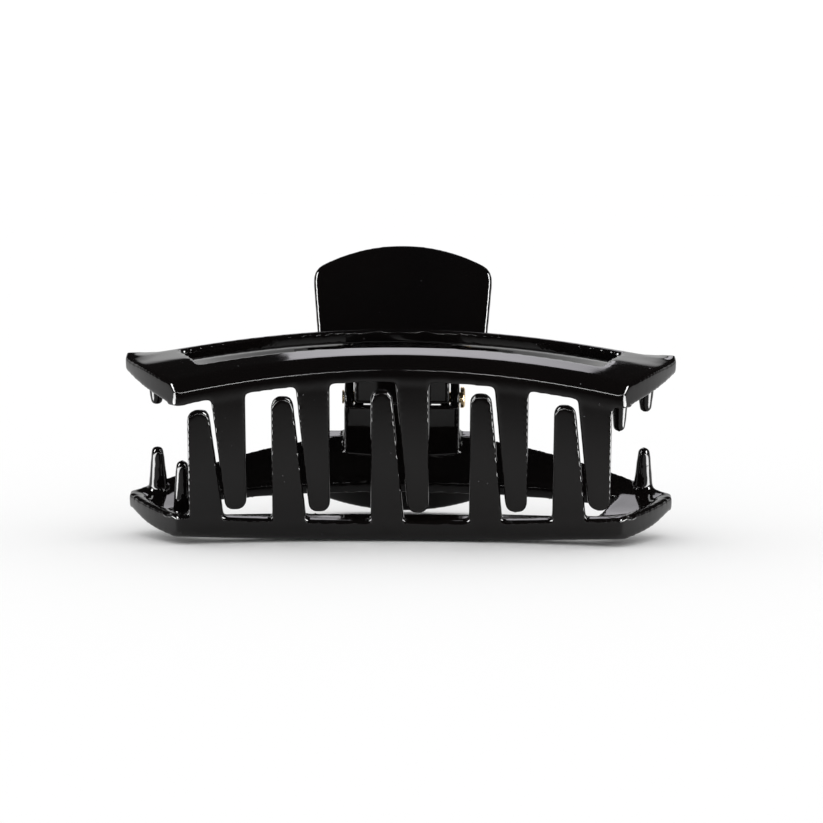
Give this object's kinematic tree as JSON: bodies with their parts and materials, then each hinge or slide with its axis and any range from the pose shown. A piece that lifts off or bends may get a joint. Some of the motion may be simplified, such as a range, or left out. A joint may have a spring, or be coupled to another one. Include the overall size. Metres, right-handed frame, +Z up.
{
  "type": "claw clip",
  "caption": "Hair claw clip: two curved, windowed jaws with interlocking teeth, hinged on a pin with a torsion spring and opened by squeezing two thumb handles.",
  "frame": {"origin": "centre of the bounding box, at its bottom: the surface that the closed clip lies on", "axes": "+X along the hinge pin and the length of the jaws, +Y from the teeth towards the thumb handles, +Z up. The clip lies on the lower jaw's front edge and the lower handle's tip, as when put down closed"},
  "size_m": [0.1046, 0.0616, 0.0552],
  "materials": {
    "jaw_plastic": "glossy black injection-moulded plastic",
    "pin_metal": "plain drawn brass-coloured pin",
    "spring_steel": "bright spring-steel wire"
  },
  "bodies": {
    "lower_jaw": {"lower_jaw": "jaw_plastic", "hinge_pin": "pin_metal", "torsion_spring": "spring_steel"},
    "upper_jaw": {"upper_jaw": "jaw_plastic"}
  },
  "joints": [
    {"name": "jaw_hinge", "type": "hinge", "parent": "lower_jaw", "child": "upper_jaw", "pos_m": [0, 0.01212, 0.02518], "axis": [-1, 0, 0], "range_deg": [0, 118], "stiffness_Nm_per_rad": 0.12, "springref_deg": -126.05, "deforming": ["torsion_spring"]}
  ]
}
